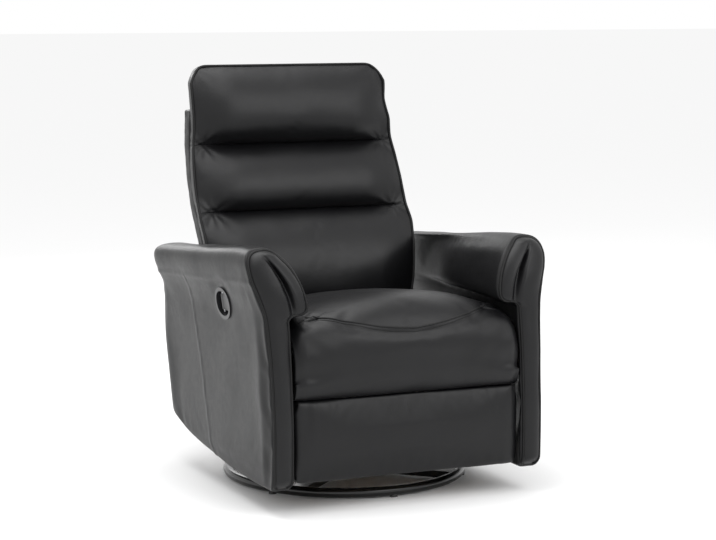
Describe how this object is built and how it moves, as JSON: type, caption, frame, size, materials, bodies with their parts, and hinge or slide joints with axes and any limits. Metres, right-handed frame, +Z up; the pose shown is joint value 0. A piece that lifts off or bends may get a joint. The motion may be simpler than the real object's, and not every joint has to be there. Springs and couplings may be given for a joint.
{
  "type": "swivel rocker recliner",
  "caption": "Black leather swivel rocker recliner on a round tube base, with a channelled back, pillow arms, a folding footrest and a recessed release handle.",
  "frame": {"origin": "middle of the bounding box on the floor", "axes": "+Z up, the sitter faces -Y, the sitter's left hand is at +X"},
  "size_m": [0.8, 0.8856, 1.047],
  "materials": {
    "leather": "black leather, soft sheen, fine grain",
    "plywood": "raw plywood",
    "hardwood": "raw hardwood",
    "black_steel": "gloss black powder coat",
    "glide_plastic": "moulded plastic",
    "nylon": "moulded nylon",
    "rubber": "moulded rubber",
    "webbing": "woven elastic webbing",
    "handle_plastic": "moulded black plastic, satin gloss",
    "pressed_steel": "satin black paint",
    "zinc_steel": "zinc plated steel"
  },
  "bodies": {
    "base": {"base_cross": "black_steel", "base_glides": "glide_plastic", "base_ring": "black_steel", "swivel_bearing_ring": "nylon", "swivel_bolt": "zinc_steel", "swivel_lower_race": "pressed_steel", "swivel_nut": "zinc_steel"},
    "turntable": {"rock_block_front": "rubber", "rock_block_rear": "rubber", "rocker_cradle": "pressed_steel", "swivel_upper_race": "pressed_steel"},
    "chair": {"arm_board_left": "plywood", "arm_board_right": "plywood", "arm_front_left": "leather", "arm_front_right": "leather", "arm_roll_left": "leather", "arm_roll_right": "leather", "arm_side_left": "leather", "arm_side_right": "leather", "back_bracket_left": "zinc_steel", "back_bracket_right": "zinc_steel", "handle_bezel": "handle_plastic", "handle_pin": "zinc_steel", "mount_rail_front": "hardwood", "mount_rail_rear": "hardwood", "rock_shaft": "zinc_steel", "rocker_hanger": "pressed_steel", "seat_cushion": "leather", "seat_front_border": "leather", "seat_rail_front": "hardwood", "seat_rail_left": "hardwood", "seat_rail_rear": "hardwood", "seat_rail_right": "hardwood", "seat_webbing": "webbing", "side_plate_left": "zinc_steel", "side_plate_right": "zinc_steel"},
    "back": {"back_post_left": "plywood", "back_post_right": "plywood", "back_rail_low": "plywood", "back_rail_top": "plywood", "back_shell": "leather", "head_cushion": "leather", "lumbar_cushion": "leather", "middle_cushion": "leather"},
    "rear_links": {"rear_link_left": "zinc_steel", "rear_link_right": "zinc_steel", "torque_tube": "zinc_steel"},
    "guide_links": {"guide_link_left": "zinc_steel", "guide_link_right": "zinc_steel"},
    "front_links": {"front_link_left": "zinc_steel", "front_link_right": "zinc_steel", "pivot_rod": "zinc_steel"},
    "top_links": {"top_link_left": "zinc_steel", "top_link_right": "zinc_steel"},
    "footrest": {"footrest_board": "plywood", "footrest_bracket_left": "zinc_steel", "footrest_bracket_right": "zinc_steel", "footrest_pad": "leather"},
    "handle": {"handle_paddle": "handle_plastic"}
  },
  "joints": [
    {"name": "swivel", "type": "hinge", "parent": "base", "child": "turntable", "pos_m": [0, -0.0228, 0], "axis": [0, 0, 1], "continuous": true},
    {"name": "rock", "type": "hinge", "parent": "turntable", "child": "chair", "pos_m": [0, -0.0228, 0.135], "axis": [-1, 0, 0], "range_deg": [-5, 10], "stiffness_Nm_per_rad": 900},
    {"name": "recline", "type": "hinge", "parent": "chair", "child": "back", "pos_m": [0, 0.1772, 0.33], "axis": [-1, 0, 0], "range_deg": [0, 35]},
    {"name": "footrest_open", "type": "hinge", "parent": "chair", "child": "rear_links", "pos_m": [0, -0.2558, 0.263], "axis": [-1, 0, 0], "range_deg": [0, 140.8]},
    {"name": "guide_link_turn", "type": "hinge", "parent": "chair", "child": "guide_links", "pos_m": [0, -0.2988, 0.2599], "axis": [-1, 0, 0], "range_deg": [0, 147.9]},
    {"name": "front_link_turn", "type": "hinge", "parent": "rear_links", "child": "front_links", "pos_m": [0, -0.0812, 0.1882], "axis": [-1, 0, 0], "range_deg": [-96.4, 0]},
    {"name": "top_link_turn", "type": "hinge", "parent": "guide_links", "child": "top_links", "pos_m": [0, -0.1708, 0.2132], "axis": [-1, 0, 0], "range_deg": [-112.1, 0]},
    {"name": "footrest_turn", "type": "hinge", "parent": "front_links", "child": "footrest", "pos_m": [0, -0.3558, 0.1363], "axis": [-1, 0, 0], "range_deg": [0, 48.5]},
    {"name": "release_paddle", "type": "hinge", "parent": "chair", "child": "handle", "pos_m": [-0.36807, -0.1188, 0.48497], "axis": [0.1392, 0, -0.9903], "range_deg": [0, 25], "stiffness_Nm_per_rad": 0.6}
  ],
  "couplings": [
    {"joint": "guide_link_turn", "follows": "footrest_open", "ratio": 1.0485},
    {"joint": "front_link_turn", "follows": "footrest_open", "ratio": -0.68291},
    {"joint": "top_link_turn", "follows": "footrest_open", "ratio": -0.79433},
    {"joint": "footrest_turn", "follows": "footrest_open", "ratio": 0.34274}
  ]
}
